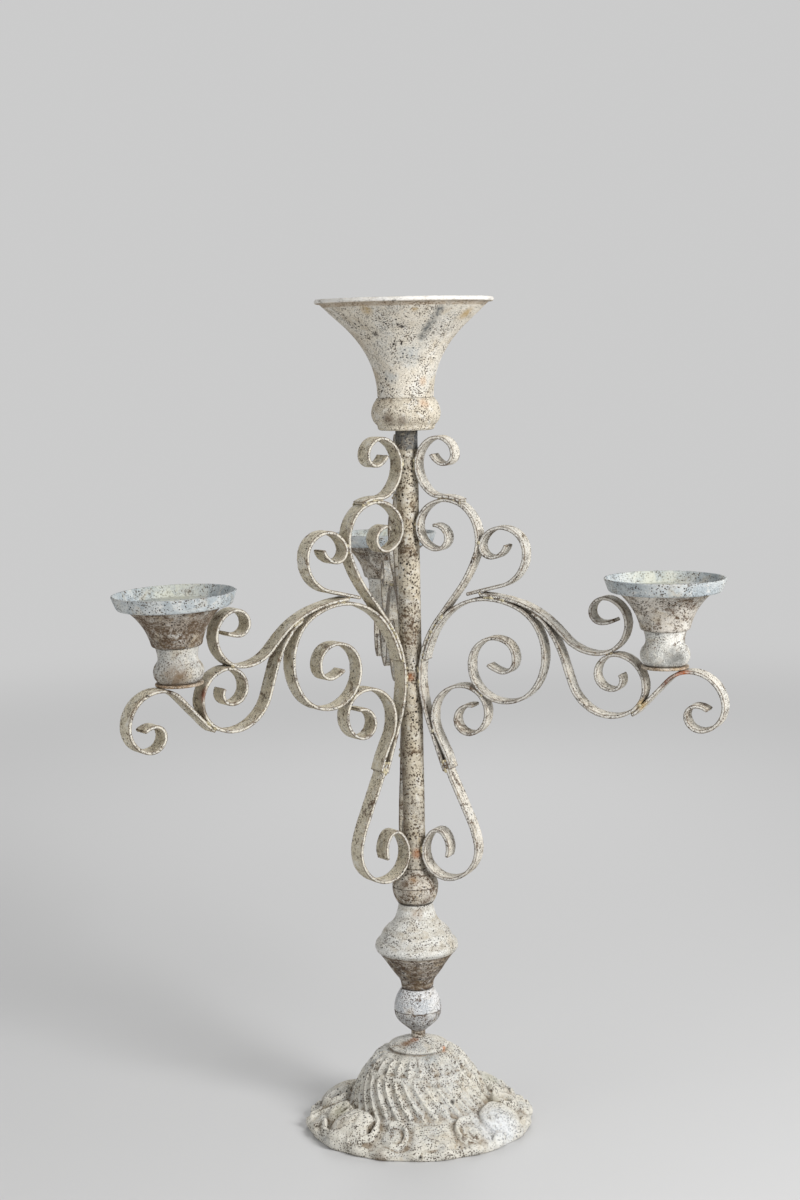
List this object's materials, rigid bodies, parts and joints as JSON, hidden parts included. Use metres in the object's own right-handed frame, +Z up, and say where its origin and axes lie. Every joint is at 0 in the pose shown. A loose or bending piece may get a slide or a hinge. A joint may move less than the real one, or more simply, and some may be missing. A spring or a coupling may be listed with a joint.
{
  "type": "candelabra",
  "caption": "Tabletop candelabra of forged scroll bars on a turned stem, with drip pan cups, a trumpet top cup and a shell-fluted cast base, all whitewashed.",
  "frame": {"origin": "on the stem axis, in the plane of the flat ring under the base", "axes": "+Z up the stem; the back arm points along +Y, and the left and right arms point forward at 30 degrees below -X and +X"},
  "size_m": [0.4199, 0.3769, 0.61],
  "materials": {
    "cast_base": "whitewashed casting with brown recesses and dark specks",
    "whitewashed_bar": "chalky worn whitewash over rusted iron bar",
    "whitewashed_sheet": "chalky worn whitewash over spun and pressed sheet",
    "fixing_steel": "darkened plain steel"
  },
  "bodies": {
    "root": {"back_big_scroll": "whitewashed_bar", "back_bow_bar": "whitewashed_bar", "back_cup_bell": "whitewashed_sheet", "back_cup_foot_disc": "whitewashed_sheet", "back_cup_neck": "whitewashed_sheet", "back_cup_pan": "whitewashed_sheet", "back_cup_rivet": "whitewashed_sheet", "back_ear_scroll": "whitewashed_bar", "back_end_scroll": "whitewashed_bar", "back_long_bar": "whitewashed_bar", "back_lower_arm": "whitewashed_bar", "back_main_arm": "whitewashed_bar", "back_mid_scroll": "whitewashed_bar", "back_top_scroll": "whitewashed_bar", "baluster_bottom": "whitewashed_sheet", "baluster_top": "whitewashed_sheet", "base_casting": "cast_base", "base_nut": "fixing_steel", "base_washer": "fixing_steel", "column_spacer": "whitewashed_sheet", "left_big_scroll": "whitewashed_bar", "left_bow_bar": "whitewashed_bar", "left_cup_bell": "whitewashed_sheet", "left_cup_foot_disc": "whitewashed_sheet", "left_cup_neck": "whitewashed_sheet", "left_cup_pan": "whitewashed_sheet", "left_cup_rivet": "whitewashed_sheet", "left_ear_scroll": "whitewashed_bar", "left_end_scroll": "whitewashed_bar", "left_long_bar": "whitewashed_bar", "left_lower_arm": "whitewashed_bar", "left_main_arm": "whitewashed_bar", "left_mid_scroll": "whitewashed_bar", "left_top_scroll": "whitewashed_bar", "lower_bead_bottom": "whitewashed_sheet", "lower_bead_top": "whitewashed_sheet", "right_big_scroll": "whitewashed_bar", "right_bow_bar": "whitewashed_bar", "right_cup_bell": "whitewashed_sheet", "right_cup_foot_disc": "whitewashed_sheet", "right_cup_neck": "whitewashed_sheet", "right_cup_pan": "whitewashed_sheet", "right_cup_rivet": "whitewashed_sheet", "right_ear_scroll": "whitewashed_bar", "right_end_scroll": "whitewashed_bar", "right_long_bar": "whitewashed_bar", "right_lower_arm": "whitewashed_bar", "right_main_arm": "whitewashed_bar", "right_mid_scroll": "whitewashed_bar", "right_top_scroll": "whitewashed_bar", "stem_tube": "whitewashed_bar", "tie_rod": "fixing_steel", "top_cup": "whitewashed_sheet", "top_cup_foot": "whitewashed_sheet", "top_nut": "fixing_steel", "top_washer": "fixing_steel", "upper_bead_bottom": "whitewashed_sheet", "upper_bead_top": "whitewashed_sheet"}
  },
  "joints": []
}
